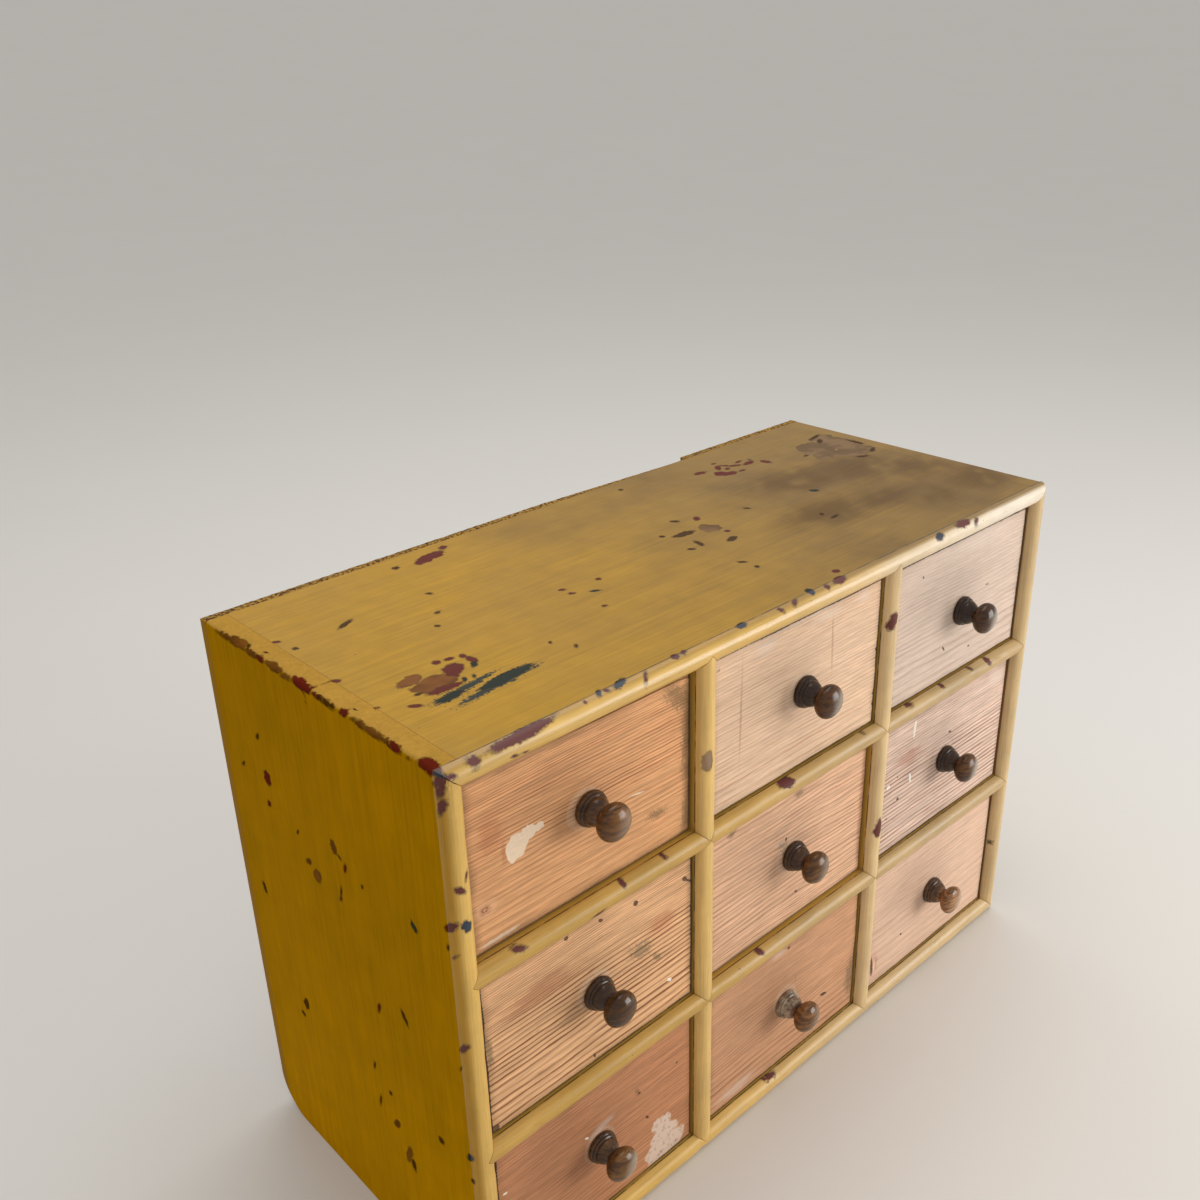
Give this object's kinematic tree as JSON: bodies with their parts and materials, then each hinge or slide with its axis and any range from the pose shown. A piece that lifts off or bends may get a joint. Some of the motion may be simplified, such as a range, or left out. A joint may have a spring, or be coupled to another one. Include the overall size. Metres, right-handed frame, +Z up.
{
  "type": "bank of drawers",
  "caption": "Small table-top bank of drawers: painted pine case with half-round beads on its front edges, bare pine drawer fronts and turned knobs.",
  "frame": {"origin": "middle of the case's footprint, on the surface it stands on", "axes": "+X to the right of someone facing the drawers, +Y to the back, +Z up; the drawers pull out along -Y"},
  "size_m": [0.659, 0.3137, 0.4646],
  "materials": {
    "case_paint": "old ochre oil paint, worn at the edges and chipped down to an oxblood coat",
    "bead_paint": "ochre oil paint rubbed to a satin shine",
    "back_wood": "rough sawn pine, darkened with age",
    "inside_wood": "bare planed pine, aged",
    "front_pine": "stripped pine with a dry waxed surface",
    "box_pine": "bare planed pine",
    "knob_wood": "turned hardwood, dark, satin polish",
    "iron": "dull rusted iron"
  },
  "bodies": {
    "case": {"left_side": "case_paint", "right_side": "case_paint", "top_board": "case_paint", "bottom_board": "inside_wood", "lower_shelf": "inside_wood", "upper_shelf": "inside_wood", "left_divider": "inside_wood", "right_divider": "inside_wood", "back_board_left": "back_wood", "back_board_middle": "back_wood", "back_board_right": "back_wood", "back_nails": "iron", "bead_top": "bead_paint", "bead_bottom": "bead_paint", "bead_left": "bead_paint", "bead_right": "bead_paint", "bead_lower_shelf": "bead_paint", "bead_upper_shelf": "bead_paint", "bead_left_divider": "bead_paint", "bead_right_divider": "bead_paint"},
    "drawer_a1": {"drawer_a1_front": "front_pine", "drawer_a1_box": "box_pine", "drawer_a1_floor": "box_pine", "drawer_a1_knob": "knob_wood"},
    "drawer_a2": {"drawer_a2_front": "front_pine", "drawer_a2_box": "box_pine", "drawer_a2_floor": "box_pine", "drawer_a2_knob": "knob_wood"},
    "drawer_a3": {"drawer_a3_front": "front_pine", "drawer_a3_box": "box_pine", "drawer_a3_floor": "box_pine", "drawer_a3_knob": "knob_wood"},
    "drawer_b1": {"drawer_b1_front": "front_pine", "drawer_b1_box": "box_pine", "drawer_b1_floor": "box_pine", "drawer_b1_knob": "knob_wood"},
    "drawer_b2": {"drawer_b2_front": "front_pine", "drawer_b2_box": "box_pine", "drawer_b2_floor": "box_pine", "drawer_b2_knob": "knob_wood"},
    "drawer_b3": {"drawer_b3_front": "front_pine", "drawer_b3_box": "box_pine", "drawer_b3_floor": "box_pine", "drawer_b3_knob": "knob_wood"},
    "drawer_c1": {"drawer_c1_front": "front_pine", "drawer_c1_box": "box_pine", "drawer_c1_floor": "box_pine", "drawer_c1_knob": "knob_wood"},
    "drawer_c2": {"drawer_c2_front": "front_pine", "drawer_c2_box": "box_pine", "drawer_c2_floor": "box_pine", "drawer_c2_knob": "knob_wood"},
    "drawer_c3": {"drawer_c3_front": "front_pine", "drawer_c3_box": "box_pine", "drawer_c3_floor": "box_pine", "drawer_c3_knob": "knob_wood"}
  },
  "joints": [
    {"name": "drawer_a1_slide", "type": "slide", "parent": "case", "child": "drawer_a1", "axis": [0, -1, 0], "range_m": [0, 0.2]},
    {"name": "drawer_a2_slide", "type": "slide", "parent": "case", "child": "drawer_a2", "axis": [0, -1, 0], "range_m": [0, 0.2]},
    {"name": "drawer_a3_slide", "type": "slide", "parent": "case", "child": "drawer_a3", "axis": [0, -1, 0], "range_m": [0, 0.2]},
    {"name": "drawer_b1_slide", "type": "slide", "parent": "case", "child": "drawer_b1", "axis": [0, -1, 0], "range_m": [0, 0.2]},
    {"name": "drawer_b2_slide", "type": "slide", "parent": "case", "child": "drawer_b2", "axis": [0, -1, 0], "range_m": [0, 0.2]},
    {"name": "drawer_b3_slide", "type": "slide", "parent": "case", "child": "drawer_b3", "axis": [0, -1, 0], "range_m": [0, 0.2]},
    {"name": "drawer_c1_slide", "type": "slide", "parent": "case", "child": "drawer_c1", "axis": [0, -1, 0], "range_m": [0, 0.2]},
    {"name": "drawer_c2_slide", "type": "slide", "parent": "case", "child": "drawer_c2", "axis": [0, -1, 0], "range_m": [0, 0.2]},
    {"name": "drawer_c3_slide", "type": "slide", "parent": "case", "child": "drawer_c3", "axis": [0, -1, 0], "range_m": [0, 0.2]}
  ]
}
